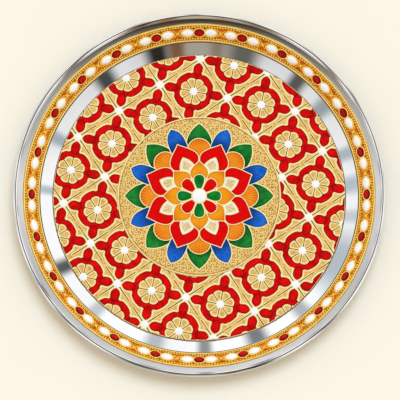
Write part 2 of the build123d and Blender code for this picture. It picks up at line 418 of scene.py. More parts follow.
def underside(places, triangles, keep):
    """Few triangles that fill the same outline as the given ones, with points only on it."""
    rim, edges = np.unique(outer_edges(triangles), return_inverse=True)
    edges = edges.reshape(-1, 2)
    corners = places[rim]
    under = upright(corners, triangles_over(corners, edges, 1e-6)[1])
    key = (len(rim), 1)
    ways = np.stack([under, np.roll(under, -1, axis=1)], -1)
    inside = np.isin(ways @ key, edges @ key).any(1)
    outside = np.isin(ways[..., ::-1] @ key, edges @ key).any(1)
    return rim[under[inside | (~outside & keep(corners[under].mean(1)))]]


def slab(top, bottom, triangles, under):
    """A closed mesh of a top, an underside and the walls between their edges, and the number of the
    top's point that each of its points belongs to."""
    count = len(top)
    start, end = outer_edges(triangles).T
    walls = [np.stack([end, start, start + count], 1), np.stack([end, start + count, end + count], 1)]
    faces = np.vstack([triangles, under[:, ::-1] + count, *walls])
    used, faces = np.unique(faces, return_inverse=True)
    return np.vstack([top, bottom])[used], faces.reshape(-1, 3), used % count


def stacked(rings, start, end):
    """A closed mesh of rings of points, from a point inside the first to a point inside the last."""
    count = len(rings[0])
    order = np.arange(count)
    beside = (order + 1) % count
    faces = [(0, a + 1, b + 1) for a, b in zip(order, beside)]
    for ring in range(len(rings) - 1):
        upper = 1 + ring * count
        lower = upper + count
        faces += [(upper + a, lower + a, lower + b, upper + b) for a, b in zip(order, beside)]
    last = 1 + len(rings) * count
    faces += [(last, last - count + b, last - count + a) for a, b in zip(order, beside)]
    return np.vstack([[start], *rings, [end]]), faces


def linked(name, data):
    """A new object in the scene."""
    made = bpy.data.objects.new(name, data)
    bpy.context.scene.collection.objects.link(made)
    return made


def add_piece(name, vertices, faces, material, nodes, slot, values=None, sharp=40):
    """One piece of the visual model, which stands for some nodes of the solids."""
    mesh = bpy.data.meshes.new(name)
    mesh.from_pydata((vertices * MM).tolist(), [], [list(face) for face in faces])
    for key, numbers in (values or {}).items():
        layer = mesh.attributes.new(key, "FLOAT", "POINT")
        layer.data.foreach_set("value", np.resize(numbers, len(vertices)).astype(np.float32))
    mesh.shade_smooth()
    mesh.set_sharp_from_angle(angle=radians(sharp))
    mesh.materials.append(material)
    piece = linked(name, mesh)
    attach(piece, "root")
    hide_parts(*nodes)


def add_flat_piece(name, lines, keep, relief, bottom, *look):
    """A piece between lines, with a flat underside. Its relief gives the heights of the top and the values
    that its material reads. Its look is the material, the nodes and the slot, which is not used."""
    places, triangles = triangulate(lines, keep)
    heights, values = relief(places)
    top = np.column_stack([places, heights])
    below = np.column_stack([places, np.full(len(places), bottom)])
    vertices, faces, source = slab(top, below, triangles, underside(places, triangles, keep))
    add_piece(name, vertices, faces, *look, {key: numbers[source] for key, numbers in values.items()})


# Material nodes


def srgb(red, green, blue):
    """A colour as it looks on a screen, in 255ths, as the renderer wants it."""
    shares = [value / 255 for value in (red, green, blue)]
    linear = [share / 12.92 if share < 0.04045 else ((share + 0.055) / 1.055) ** 2.4 for share in shares]
    return (*linear, 1.0)


def node(tree, kind, inputs=None, **settings):
    made = tree.nodes.new("ShaderNode" + kind)
    for key, value in settings.items():
        setattr(made, key, value)
    for socket, value in (inputs or {}).items():
        if isinstance(value, bpy.types.NodeSocket):
            tree.links.new(value, made.inputs[socket])
        else:
            made.inputs[socket].default_value = value
    return made


def math(tree, operation, *values):
    return node(tree, "Math", dict(enumerate(values)), operation=operation).outputs[0]


def attribute(tree, name):
    return node(tree, "Attribute", attribute_name=name).outputs["Fac"]


def mixed(tree, share, first, second):
    return node(tree, "Mix", {0: share, 6: first, 7: second}, data_type="RGBA").outputs[2]


def stepped(tree, value, low, high, low_result=0.0, high_result=1.0):
    """A value's smooth way from one result to the other, between two limits."""
    inputs = {"Value": value, 1: low, 2: high, 3: low_result, 4: high_result}
    return node(tree, "MapRange", inputs, interpolation_type="SMOOTHSTEP").outputs[0]


def ramp(tree, value, stops):
    """Colours along a value, from pairs of a place and a colour."""
    made = node(tree, "ValToRGB", {0: value})
    elements = made.color_ramp.elements
    while len(elements) < len(stops):
        elements.new(0.5)
    for element, (place, colour) in zip(elements, stops):
        element.position = place
        element.color = colour
    return made.outputs[0]


def noise(tree, scale, detail=3.0, roughness=0.55, vector=None):
    inputs = {"Scale": scale, "Detail": detail, "Roughness": roughness}
    inputs["Vector"] = vector or node(tree, "TexCoord").outputs["Object"]
    return node(tree, "TexNoise", inputs).outputs["Fac"]


def dress(tree, shader, colour, height, strength, distance):
    """Links a colour and a bump to a shader; the bump's distance is in millimetres."""
    inputs = {"Height": height, "Strength": strength, "Distance": distance * MM}
    tree.links.new(node(tree, "Bump", inputs).outputs[0], shader.inputs["Normal"])
    tree.links.new(colour, shader.inputs["Base Color"])


def new_material(name, **uniform):
    """A material and its tree; uniform values go on the shader's own sockets."""
    material = bpy.data.materials.new(name)
    material.use_nodes = True
    tree = material.node_tree
    shader = tree.nodes["Principled BSDF"]
    for socket, value in uniform.items():
        shader.inputs[socket.replace("_", " ")].default_value = value
    return material, tree, shader


stipple_cells = 540.0


def embossed_gold(name, colours, grain, glitter, stipple=False):
    """Lacquered gold with a fine grain. Its tone gives painted shade with patina, dark in the grooves, and a
    painted highlight, pale on the raised lines.
    """
    material, tree, shader = new_material(name, Metallic=0.15, Specular_IOR_Level=0.25)
    dark, shade, field, pale = colours
    coarse = noise(tree, 330)
    fine = noise(tree, grain, 4.0, 0.65)
    height = fine
    tone = math(tree, "ADD", attribute(tree, "tone"), math(tree, "MULTIPLY_ADD", coarse, 0.5, -0.25))
    tone = math(tree, "ADD", tone, math(tree, "MULTIPLY_ADD", fine, glitter, -glitter / 2))
    if stipple:
        vector = node(tree, "TexCoord").outputs["Object"]
        settings = {"Vector": vector, "Scale": stipple_cells, "Randomness": 0.8}
        cells = node(tree, "TexVoronoi", settings, voronoi_dimensions="2D")
        punched = stepped(tree, cells.outputs["Distance"], 0.12, 0.34, 1.0, 0.0)
        punched = math(tree, "MULTIPLY", punched, attribute(tree, "stipple"))
        # Painted shade in the punched pits: they darken the colour as well as the bump.
        tone = math(tree, "MULTIPLY_ADD", punched, -0.55, tone)
        height = math(tree, "MULTIPLY_ADD", punched, -2.0, fine)
    colour = ramp(tree, tone, [(0.0, dark), (0.28, shade), (0.52, field), (0.92, pale)])
    tree.links.new(stepped(tree, fine, 0.3, 0.7, 0.38, 0.55), shader.inputs["Roughness"])
    dress(tree, shader, colour, height, 0.35, 0.12)
    return material


def enamel(name, deep, body, bright, fan=None, fade=None, **uniform):
    """Glossy enamel, with painted shade: its deep colour at its edges. A fan is its lines' foot and number,
    and a fade is where along the petal another colour starts, where it is full, and the colour."""
    uniform = {"Roughness": 0.3, "Specular_IOR_Level": 0.08} | uniform
    material, tree, shader = new_material(name, **uniform)
    cloud = noise(tree, 200)
    colour = ramp(tree, cloud, [(0.3, body), (0.72, bright)])
    height = noise(tree, 260, 2.0)
    if fade:
        start, end, tint = fade
        colour = mixed(tree, stepped(tree, attribute(tree, "along"), start, end), colour, tint)
    if fan:
        foot, lines = fan
        along = math(tree, "SUBTRACT", attribute(tree, "along"), foot)
        angle = math(tree, "ARCTAN2", attribute(tree, "across"), along)
        wobble = math(tree, "MULTIPLY", noise(tree, 500), 1.5)
        wave = math(tree, "SINE", math(tree, "MULTIPLY_ADD", angle, lines, wobble))
        cut = stepped(tree, wave, 0.1, 0.9)
        colour = mixed(tree, math(tree, "MULTIPLY", cut, 0.55), colour, deep)
        colour = mixed(tree, stepped(tree, wave, -0.9, 0.0, 0.5, 0.0), colour, bright)
        height = math(tree, "MULTIPLY_ADD", cut, -0.8, height)
    # Painted shade: the deep colour mixed in near the fill's edges, where the walls round it and its own
    # curve would shade it.
    edge = attribute(tree, "edge")
    colour = mixed(tree, stepped(tree, edge, 0.0, 1.5, 0.55, 0.0), colour, deep)
    dress(tree, shader, colour, height, 0.3, 0.1)
    return material


# Colours
cream = srgb(251, 245, 226)
# The gold ramps run dark, shade, field and pale; the dark and pale ends carry the painted shade in the
# grooves and the painted highlight on the ridges.
pale_gold = [srgb(78, 44, 2), srgb(196, 144, 58), srgb(244, 200, 112), srgb(255, 243, 180)]
orange_gold = [srgb(104, 40, 0), srgb(210, 114, 0), srgb(254, 186, 30), srgb(255, 232, 124)]


def polished_steel():
    """Mirror steel with faint marks from spinning and polishing, all round the middle."""
    material, tree, shader = new_material("polished_steel", Metallic=1.0)
    place = node(tree, "SeparateXYZ", {0: node(tree, "TexCoord").outputs["Object"]})
    across = math(tree, "POWER", place.outputs[0], 2.0)
    along = math(tree, "POWER", place.outputs[1], 2.0)
    radius = math(tree, "SQRT", math(tree, "ADD", across, along))
    angle = math(tree, "ARCTAN2", place.outputs[1], place.outputs[0])
    fine_radius = math(tree, "MULTIPLY", radius, 900.0)
    rings = node(tree, "CombineXYZ", {0: fine_radius, 1: angle, 2: place.outputs[2]})
    marks = noise(tree, 1.6, 5.0, 0.7, rings.outputs[0])
    smear = noise(tree, 18, 3.0)
    colour = ramp(tree, smear, [(0.3, srgb(214, 215, 217)), (0.7, srgb(232, 232, 232))])
    roughness = math(tree, "MULTIPLY_ADD", marks, 0.02, 0.015)
    roughness = math(tree, "MULTIPLY_ADD", smear, 0.015, roughness)
    tree.links.new(roughness, shader.inputs["Roughness"])
    dress(tree, shader, colour, marks, 0.01, 0.05)
    return material


def cream_enamel():
    """Cream petals: a white border, a dotted line and an engraved gold middle."""
    material, tree, shader = new_material("cream_enamel", Roughness=0.35, Specular_IOR_Level=0.3)
    edge = attribute(tree, "edge")
    along = attribute(tree, "along")
    across = attribute(tree, "across")
    angle = math(tree, "ARCTAN2", across, math(tree, "SUBTRACT", along, 22.0))
    lines = math(tree, "SINE", math(tree, "MULTIPLY", angle, 16.0))
    cloud = noise(tree, 200)
    middle = ramp(tree, cloud, [(0.3, srgb(226, 196, 128)), (0.7, srgb(244, 224, 170))])
    middle = mixed(tree, stepped(tree, lines, 0.2, 0.9, 0.0, 0.45), middle, srgb(176, 128, 60))
    border = ramp(tree, cloud, [(0.3, srgb(246, 236, 206)), (0.7, srgb(255, 250, 232))])
    colour = mixed(tree, stepped(tree, edge, 1.45, 1.8), border, middle)
    beats = math(tree, "SINE", math(tree, "MULTIPLY", along, 5.2))
    off_line = math(tree, "ABSOLUTE", math(tree, "SUBTRACT", edge, 1.25))
    on_line = stepped(tree, off_line, 0.1, 0.32, 1.0, 0.0)
    dots = math(tree, "MULTIPLY", on_line, stepped(tree, beats, -0.2, 0.5))
    colour = mixed(tree, math(tree, "MULTIPLY", dots, 0.7), colour, srgb(150, 118, 70))
    dress(tree, shader, colour, math(tree, "SUBTRACT", cloud, dots), 0.3, 0.08)
    return material


def white_glaze(name, body, shade, roughness):
    """Opaque white, with painted shade that makes it a little warmer and darker at the edges."""
    material, tree, shader = new_material(name, Roughness=roughness, Specular_IOR_Level=0.4)
    cloud = ramp(tree, noise(tree, 160), [(0.3, body), (0.7, srgb(255, 253, 252))])
    colour = mixed(tree, stepped(tree, attribute(tree, "edge"), 0.05, 0.6, 0.8, 0.0), cloud, shade)
    dress(tree, shader, colour, noise(tree, 420, 2.0), 0.15, 0.06)
    return material


def red_stone_glass():
    """Deep red stone, with painted shade that makes it nearly black at its edge."""
    material, tree, shader = new_material("red_stone", Roughness=0.12, Specular_IOR_Level=0.1)
    cloud = ramp(tree, noise(tree, 220), [(0.3, srgb(168, 2, 6)), (0.7, srgb(206, 8, 14))])
    colour = mixed(tree, stepped(tree, attribute(tree, "edge"), 0.1, 1.3, 0.95, 0.0), cloud, srgb(70, 0, 6))
    tree.links.new(colour, shader.inputs["Base Color"])
    return material


def cured_glue():
    material, tree, shader = new_material("cured_glue", Roughness=0.5)
    colour = ramp(tree, noise(tree, 140), [(0.3, srgb(150, 128, 84)), (0.7, srgb(196, 174, 124))])
    dress(tree, shader, colour, noise(tree, 300), 0.3, 0.1)
    return material


# Steel tray


def rounded(corners, left_radius, right_radius):
    """An open line whose inner corners are arcs, by the side that the line turns to."""
    line = [corners[0]]
    for a, b, c in zip(corners, corners[1:], corners[2:]):
        before = (b - a) / hypot(*(b - a))
        after = (c - b) / hypot(*(c - b))
        turn = atan2(before[0] * after[1] - before[1] * after[0], before @ after)
        radius = left_radius if turn > 0 else right_radius
        side = np.array([-before[1], before[0]]) * np.sign(turn)
        centre = b - before * radius * tan(abs(turn) / 2) + side * radius
        line += arc(centre, radius, atan2(-side[1], -side[0]), turn, bend_points)
    return line + [corners[-1]]


def shifted(corners, distance):
    """The corners of an open line, moved to its right-hand side."""
    ways = [(b - a) / hypot(*(b - a)) for a, b in zip(corners, corners[1:])]
    rights = [np.array([way[1], -way[0]]) for way in ways]
    moved = []
    for corner, before, after in zip(corners, rights[:1] + rights, rights + rights[-1:]):
        moved.append(corner + (before + after) * (distance / (1 + before @ after)))
    return moved


def arc(centre, radius, start, sweep, count):
    angles = start + sweep * np.linspace(0, 1, count)
    return list(centre + radius * directions(angles))


def tray_profile():
    roll_start = groove + (0, groove_depth)
    corners = [np.array([0, steel_thickness]), np.array([floor_radius, steel_thickness])]
    corners += [wall_top, ledge_end, band_top, groove, roll_start]
    outer_bend = bend_radius + steel_thickness
    upper = rounded(corners, bend_radius, outer_bend)
    lower = rounded(shifted(corners, steel_thickness), outer_bend, bend_radius)
    roll_centre = roll_start + (bead_radius, 0)
    roll_outside = arc(roll_centre, bead_radius, pi, -curl_angle, roll_points)
    roll_inside = arc(roll_centre, bead_radius - steel_thickness, pi, -curl_angle, inner_roll_points)
    return np.array(upper[:-1] + roll_outside + roll_inside[::-1] + lower[::-1][1:])


def lathe(profile, segments):
    """A line from the axis out and back to the axis, spun round Z."""
    around = directions(np.arange(segments) * 2 * pi / segments)
    rings = [np.column_stack([radius * around, np.full(segments, level)]) for radius, level in profile[1:-1]]
    return stacked(rings, (0, 0, profile[0][1]), (0, 0, profile[-1][1]))


def add_steel_tray():
    vertices, faces = lathe(tray_profile(), tray_segments)
    add_piece("steel_tray", vertices, faces, polished_steel(), ["steel_thali"], "steel", sharp=30)


# Floor sheet
half_pitch = lattice_pitch / 2
tile_spacing = lattice_pitch / 144
tiles_out = 5
# One eighth of a tile, as seen along a spoke
spoke_table_size = (29, 15)
spoke_table_spacing = 0.08
almond_handles = [(13.4, 0), (15.5, 4.6), (22.1, 5.0), (spoke_tip, 0)]
# The leaves' spines: how far they reach into the red ring, their angle from a spoke and their half width
spine_depth = 0.9
spine_angle = 0.3
spine_half_angle = 0.14
# Distances from an outline or a groove at which the relief bends, from its edge out
bead_steps = [0, 0.15, 1.0, 1.5]
vein_steps = [0.22, 0.45, 0.85, 1.2]
side_steps = [0.2, 0.42, 0.95, 1.4]
dot_seat_steps = [-0.2, 0.3]
border_fade = 0.6
vein_start = 2.6
vein_end = 16.9
side_start = dot_radius - 0.3
side_end = flower_radius - 0.9
red_steps = [fill_gap, 0.5, 1.3]
almond_steps = [-0.4, 0, 0.6, 1.7, 3.5]
dot_steps = [fill_gap, 0.5, 1.2, 2.2]


def turned(points, angle):
    across, along = points.T
    return np.stack([across * cos(angle) - along * sin(angle), across * sin(angle) + along * cos(angle)], 1)


def in_tile(points):
    """Places in the tile about a flower, folded into one eighth of it."""
    moved = turned(points - lattice_offset, -lattice_turn)
    return folded_tile(moved - lattice_pitch * np.round(moved / lattice_pitch))


def folded_tile(tile):
    near = np.abs(tile)
    return np.stack([near.max(1), near.min(1)], 1)


def tile_places():
    """Middles of the tiles that the shown part of the floor may reach, in the lattice's own axes."""
    steps = np.arange(-tiles_out, tiles_out + 1) * lattice_pitch
    places = grid_of(steps, steps).reshape(-1, 2)
    away = length_of(turned(places, lattice_turn) + lattice_offset)
    reach_out = half_pitch * sqrt(2)
    return places[(away < sheet_radius + reach_out) & (away > medallion_radius - reach_out)]


def on_floor(line):
    """One line of a tile, copied to every tile, without what can't be seen."""
    points, edges = line
    copies = [turned(points + place, lattice_turn) + lattice_offset for place in tile_places()]
    points, edges = joined([(copy, edges) for copy in copies])
    radius = length_of(points)
    shown = (radius > medallion_radius - run_spacing) & (radius < sheet_radius + run_spacing)
    edges = edges[shown[edges].all(1)]
    used, edges = np.unique(edges, return_inverse=True)
    return points[used], edges.reshape(-1, 2)


def straight_line(start, end):
    """Points along a straight run, so close that what lies out of sight can be left out of it."""
    count = int(hypot(*(end - start)) / run_spacing) + 2
    order = np.arange(count - 1)
    return np.linspace(start, end, count), np.stack([order, order + 1], 1)


def flower_distance(tile):
    petal_end = petal_end_place * np.array([cos(half_step), sin(half_step)])
    ends = length_of(tile - petal_end) - petal_end_radius
    return np.minimum(length_of(tile) - petal_end_place, ends)


def along_spoke(outline):
    """The distance from an outline on every spoke, as a function of places in the tile."""

    def off_outline(points):
        return polygon_distance(points, outline)

    table = sampled(off_outline, spoke_table_size, spoke_table_spacing)

    def distance(tile):
        across, along = tile.T
        return table(np.stack([across + along, across - along], 1) / sqrt(2))[0]

    return distance


spoke_distance = along_spoke(petal(red_ring_radius - spoke_root, spoke_tip, spoke_widths))
# The raised almond that a spoke shows, which runs on into the ring
almond_distance = along_spoke(both_sides(bezier(almond_handles)))


def frame_distance(tile):
    """Distance from the red ring and its spokes, whose corners hold the leaves' spines."""
    across, along = tile.T
    off_spoke = pi / 4 - np.arctan2(along, np.maximum(across, 1e-6))
    spine = spine_depth * np.clip(1 - np.abs(off_spoke - spine_angle) / spine_half_angle, 0, 1)
    ring = np.minimum(length_of(tile) - red_ring_radius + spine, spoke_distance(tile))
    return np.maximum(ring, -flower_distance(tile))


def hidden_distance(points):
    """Above nought where the medallion or the edge leaves no room for the pattern."""
    radius = length_of(points)
    return np.maximum(medallion_radius + sheet_border - radius, radius - sheet_radius + sheet_border)


def red_distance(points):
    """Distance from the red enamel of the floor, negative inside it."""
    return np.maximum(frame_distance(in_tile(points)), hidden_distance(points))


def petal_side(tile):
    """Distance from the line between two petals of a flower."""
    across, along = tile.T
    return np.minimum(along, (across - along) / sqrt(2))


def vein_distance(tile):
    """Distance from the middle veins of the leaves, which lie along the tiles' edges."""
    across, along = tile.T
    return np.hypot(across - half_pitch, along - np.clip(along, vein_start, vein_end))


def ridged(edge, line, line_steps, edge_values, line_values):
    """Values by the distance from an outline and from a groove's line, where the groove cuts through."""
    by_edge = np.interp(edge, bead_steps, edge_values)
    by_line = np.interp(line, line_steps, line_values)
    return np.where(line < line_steps[1], by_line, np.maximum(by_edge, by_line))


def floor_relief(tile):
    """Height above the sheet's flat top, and tone from a dark groove to a pale ridge: painted shade with
    patina in the grooves, a painted highlight on the ridges.
    """
    edge = frame_distance(tile)
    side = petal_side(tile)
    vein = vein_distance(tile)
    in_flower = flower_distance(tile) < 0
    petal_height = ridged(edge, side, side_steps, [0, 0.2, 0.22, -0.26], [-0.3, 0.2, 0.2, -0.26])
    leaf_height = ridged(edge, vein, vein_steps, [0, 0.2, 0.24, -0.08], [-0.4, 0.08, 0.08, -0.08])
    petal_tone = ridged(edge, side, side_steps, [1.0, 1.1, 1.0, 0.47], [0, 0.95, 0.9, 0.47])
    leaf_tone = ridged(edge, vein, vein_steps, [1.0, 1.1, 1.0, 0.48], [0, 0.85, 0.8, 0.48])
    beside_dot = np.interp(dot_distance(tile), dot_seat_steps, [0, 1])
    height = beside_dot * np.where(in_flower, petal_height, leaf_height)
    return height, np.where(in_flower, petal_tone, leaf_tone)


def dot_distance(tile):
    """Distance from the white dots at a tile's middle and corners."""
    return np.minimum(length_of(tile), length_of(tile - half_pitch)) - dot_radius


def dot_circle(radius, middle):
    around, edges = closed_line(oval(2, 2))
    return around * radius + middle, edges


def dot_lines():
    """Circles under and round the dot at a tile's middle and the one at its corner."""
    return [dot_circle(dot_radius + step, middle) for step in dot_seat_steps for middle in (0, half_pitch)]


def edge_circles(insets):
    """Circles at some distances inside what the medallion and the sheet's edge leave of the pattern."""
    insets = sheet_border + np.array(insets)
    radii = [*(sheet_radius - insets), *(medallion_radius + insets)]
    return [circle(radius, circle_spacing) for radius in radii]


def tile_contours(field, levels):
    corner = np.full(2, half_pitch)
    lines = contours(lambda points: field(folded_tile(points)), levels, -corner, corner, tile_spacing)
    return [thinned(line) for line in lines]


def petal_side_lines():
    """Lines beside the eight grooves between the petals of a flower."""
    lines = []
    for side in [-step for step in side_steps] + side_steps:
        ends = np.array([(side_start, side), (side_end, side)])
        lines += [straight_line(*turned(ends, 2 * half_step * i)) for i in range(flower_petals)]
    return lines


def vein_lines():
    """Outlines of the veins on two neighbouring edges of a tile; the next tiles have the others."""
    lines = []
    around = np.linspace(-pi / 2, pi / 2, 5)
    for step in vein_steps:
        cap = step * np.stack([np.sin(around), np.cos(around)], 1)
        right, _ = straight_line(np.array([step, vein_end]), np.array([step, vein_start]))
        left = right[::-1] * (-1, 1)
        outline = np.vstack([cap + (0, vein_end), right[1:-1], -cap + (0, vein_start), left[1:-1]])
        for side in (1, -1):
            for angle in (0, pi / 2):
                lines.append(closed_line(turned(outline * (1, side) + (half_pitch, 0), angle)))
    return lines


def add_floor_sheet():
    lines = tile_contours(frame_distance, bead_steps) + petal_side_lines() + vein_lines() + dot_lines()
    lines = [on_floor(line) for line in lines]
    radii = [sheet_radius, sheet_radius - sheet_border]
    radii += [medallion_radius + away for away in (0, sheet_border, sheet_border + border_fade)]
    lines += [circle(radius, circle_spacing) for radius in radii]

    def gold(middles):
        return (red_distance(middles) > 0) & (length_of(middles) < sheet_radius)

    def relief(places):
        height, tone = floor_relief(in_tile(places))
        clear = np.clip((length_of(places) - medallion_radius - sheet_border) / border_fade, 0, 1)
        return sheet_top + clear * height, {"tone": tone}

    look = [embossed_gold("floor_gold", pale_gold, 900, 0.4), ["floor_sheet"], "floor_gold"]
    add_flat_piece("floor_gold_sheet", lines, gold, relief, sheet_bottom, *look)


def add_floor_enamel():
    lines = tile_contours(frame_distance, [-step for step in red_steps])
    lines += tile_contours(almond_distance, [-step for step in almond_steps[:-1]])
    lines = [on_floor(line) for line in lines] + edge_circles(red_steps)

    def red(middles):
        return red_distance(middles) < -fill_gap

    def relief(places):
        edge = -red_distance(places)
        almond = -almond_distance(in_tile(places))
        swell = np.interp(almond, almond_steps, [0, -0.1, 0.1, 0.24, 0.32])
        sunk = np.interp(edge, red_steps, [-0.03, -0.01, 0])
        heights = floor_enamel_top + fill_rise + sunk + swell * np.clip(edge / red_steps[-1], 0, 1)
        # The edge value also falls along each almond's outline, so the painted shade at the enamel's edges
        # also darkens the almonds' outlines.
        return heights, {"edge": np.minimum(edge, np.abs(almond) + 0.1)}

    # Its first, darkest colour is the painted shade at the edges.
    material = enamel("floor_red", srgb(50, 0, 0), srgb(186, 0, 0), srgb(240, 8, 6))
    look = [material, ["floor_red_enamel"], "floor_red"]
    add_flat_piece("floor_red_fills", lines, red, relief, floor_enamel_bottom, *look)


def add_floor_dots(name, node_name, middle, material):
    """White dots, at the middle of every tile or at its corner."""
    lines = [on_floor(dot_circle(dot_radius - step, middle)) for step in dot_steps] + edge_circles(dot_steps)

    def off_middle(points):
        return length_of(in_tile(points) - middle)

    def distance(points):
        return np.maximum(off_middle(points) - dot_radius, hidden_distance(points))

    def dot(middles):
        return distance(middles) < -fill_gap

    def relief(places):
        fall = (dot_height - dot_edge_height) * (off_middle(places) / dot_radius) ** 2
        return dot_bottom + dot_height - fall, {"edge": -distance(places)}

    add_flat_piece(name, lines, dot, relief, dot_bottom, material, [node_name], "white_enamel")


# Medallion
lotus_corner = np.full(2, medallion_radius + 1)
lotus_spacing = 0.3
lotus_table_size = (medallion_radius + 2, medallion_radius * 0.75)
lotus_table_spacing = 0.12
# From the front of the lotus to its back: outline, turn of the first petal and number of petals
lotus = {
    "centre_stone": (oval(2 * centre_stone_radius, 2 * centre_stone_radius), 0, 1),
    "centre_green_drops": (drop(17.9, 9.4), 0, 4),
    "centre_red_drops": (drop(18.2, 9.8), 2 * half_step, 4),
    "inner_orange_petals": (petal(13.5, 29.4, (9.2, 23.6, 7.2)), 0, 8),
    "cream_petals": (petal(21.0, 34.4, (12.8, 12.8, 9.2)), half_step, 8),
    "red_petals": (petal(24.5, 46.4, (16.4, 38.0, 9.9)), half_step, 8),
    "outer_orange_petals": (oval(2 * scallop_radius, 2 * scallop_radius, scallop_centre), 0, 8),
    "blue_petals": (petal(40.5, 60.2, (14.8, 14.8, 17.0)), half_step, 8),
    "green_petals": (petal(36.0, 60.6, (22.4, 22.4, 18.4)), 0, 8),
}
ground_depth = 0.22
ground_steps = [0, 0.35, 0.7]
stipple_start = 0.2
stipple_fade = 0.5
stipple_border = 1.6
border_steps = [0, 0.3, 0.8, 1.1, 1.5, 1.9]
wall_steps = [0, 0.2, 0.45]
fill_steps = [fill_gap, 0.45, 1.0, 1.5, 2.0]
dome_width = 2.6
drop_dome = 0.45
centre_stone_edge_height = 0.8


def ring_distances(points):
    """Distance of each point from every ring's shapes, from the front to the back."""
    distances = []
    for name, (outline, turn, copies) in lotus.items():
        near = folded(points, turn, copies)
        distance = polygon_distance(near, outline)
        if name == "red_petals":
            # Neighbouring red petals end where they meet
            beside = near[:, 0] * sin(half_step) - np.abs(near[:, 1]) * cos(half_step)
            distance = np.maximum(distance, -beside)
        distances.append(distance)
    return np.array(distances)


lotus_table = sampled(ring_distances, lotus_table_size, lotus_table_spacing)


def lotus_distances(points):
    """The same, from one eighth of the lotus, as each eighth is the next one's mirror image."""
    near = folded(points, 0, 4)
    return lotus_table(np.stack([near[:, 0], np.abs(near[:, 1])], 1))


def cell_distances(points):
    """Distance from the cells of every ring: its shapes less a wall and what lies in front."""
    shapes = lotus_distances(points)
    cells = shapes + cell_wall / 2
    for index in range(1, len(shapes)):
        in_front = (cell_wall / 2 - shapes[:index]).max(0)
        cells[index] = np.maximum(cells[index], in_front)
    return cells


def cells_distance(points):
    return cell_distances(points).min(0)


def ground_distance(points):
    """Above nought on the stippled ground round the lotus."""
    return lotus_distances(points).min(0) - cell_wall / 2


def lotus_contours(field, levels):
    return [thinned(line) for line in contours(field, levels, -lotus_corner, lotus_corner, lotus_spacing)]


def medallion_relief(points):
    """Height above the disc's flat top, tone, and where the ground is stippled. The tone paints a highlight
    on the walls and the border's raised edge, shade on the ground beside the walls, and shade with patina in
    the border's groove.
    """
    edge = cells_distance(points)
    ground = ground_distance(points)
    border = medallion_radius - length_of(points)
    on_ground = ground > 0
    at_border = border < border_steps[-1]
    wall = np.minimum(edge, -ground)
    ground_height = np.interp(ground, ground_steps[:2], [0, -ground_depth])
    wall_height = np.interp(wall, wall_steps, [0, 0.1, 0.12])
    border_height = np.interp(border, border_steps, [-0.1, 0.05, 0.05, -0.3, -0.3, -ground_depth])
    # Painted shade on the ground just beside the walls, a painted highlight on the walls and the border's
    # raised edge, painted shade with patina in the border's groove.
    ground_tone = np.interp(ground, [0, 0.15, 0.45, 1.0], [0.8, 0.25, 0.5, 0.62])
    wall_tone = np.interp(wall, wall_steps, [1.0, 1.1, 1.15])
    border_tone = np.interp(border, border_steps, [0.6, 0.95, 0.9, 0.2, 0.25, 0.55])
    height = np.where(at_border, border_height, np.where(on_ground, ground_height, wall_height))
    tone = np.where(at_border, border_tone, np.where(on_ground, ground_tone, wall_tone))
    stippled = np.clip((ground - stipple_start) / stipple_fade, 0, 1)
    return height, tone, np.where(on_ground & (border > stipple_border), stippled, 0)


def add_medallion():
    lines = lotus_contours(cells_distance, wall_steps[:2]) + lotus_contours(ground_distance, ground_steps)
    lines += [circle(medallion_radius - inset, circle_spacing) for inset in border_steps]

    def gold(middles):
        return (cells_distance(middles) > 0) & (length_of(middles) < medallion_radius)

    def relief(places):
        height, tone, stippled = medallion_relief(places)
        return medallion_top + height, {"tone": tone, "stipple": stippled}

    material = embossed_gold("medallion_gold", pale_gold, 900, 0.3, stipple=True)
    look = [material, ["medallion_disc"], "medallion_gold"]
    add_flat_piece("medallion_gold_disc", lines, gold, relief, medallion_bottom, *look)


def add_lotus_fills(name, slot, material, dome=0.0):
    index = list(lotus).index(name)
    _, turn, copies = lotus[name]

    def distance(points):
        return cell_distances(points)[index]

    def filled(middles):
        return distance(middles) < -fill_gap

    def relief(places):
        edge = -distance(places)
        sunk = np.interp(edge, fill_steps[:3], [-0.03, -0.01, 0])
        along, across = folded(places, turn, copies).T
        heights = fill_top + fill_rise + sunk + dome * np.sqrt(np.clip(edge / dome_width, 0, 1))
        return heights, {"edge": edge, "along": along, "across": across}

    lines = lotus_contours(distance, [-step for step in fill_steps])
    look = [material, ["medallion_" + name], slot]
    add_flat_piece("lotus_" + name, lines, filled, relief, fill_bottom, *look)


def add_centre_stone(material):
    diameter = 2 * (centre_stone_radius - cell_wall / 2 - fill_gap)
    height = centre_stone_top - fill_bottom
    vertices, faces, edge = cabochon(oval(diameter, diameter), height, centre_stone_edge_height)
    look = [material, ["medallion_centre_stone"], "white_stone"]
    add_piece("lotus_centre_stone", vertices + (0, 0, fill_bottom), faces, *look, {"edge": edge})


# Rim band and stones
half_motif = motif_length / 2
half_band = band_length / 2
white_place = (red_stone_length + white_stone_length) / 2 + stone_gap
red_outline = oval(red_stone_length, stone_width)
white_outline = marquise(white_stone_length, stone_width, white_place)
bezel_steps = [0.1, 0.3, 0.8, 1.15]
edge_stripe = 1.1
bead_row = half_band - 2.2
beads_in_motif = 16
band_bead_radius = 0.82
knot_radius = 1.25
cross_reach = (3.4, 3.1)
cross_half_width = 0.42
bead_pitch = motif_length / beads_in_motif
stripe_steps = [0, 0.2, edge_stripe - 0.2, edge_stripe]
band_bead_steps = [0, 0.3, band_bead_radius]
cross_steps = [0, 0.3, knot_radius]
ridge_levels = [-0.3, 0]
bezel_spacing = 0.5
bead_spacing = 0.34
cross_spacing = 0.4
row_points = 15
row_margin = 0.1
band_overlap = 0.6
dome_shares = [0.16, 0.38, 0.6, 0.78, 0.9, 0.97]


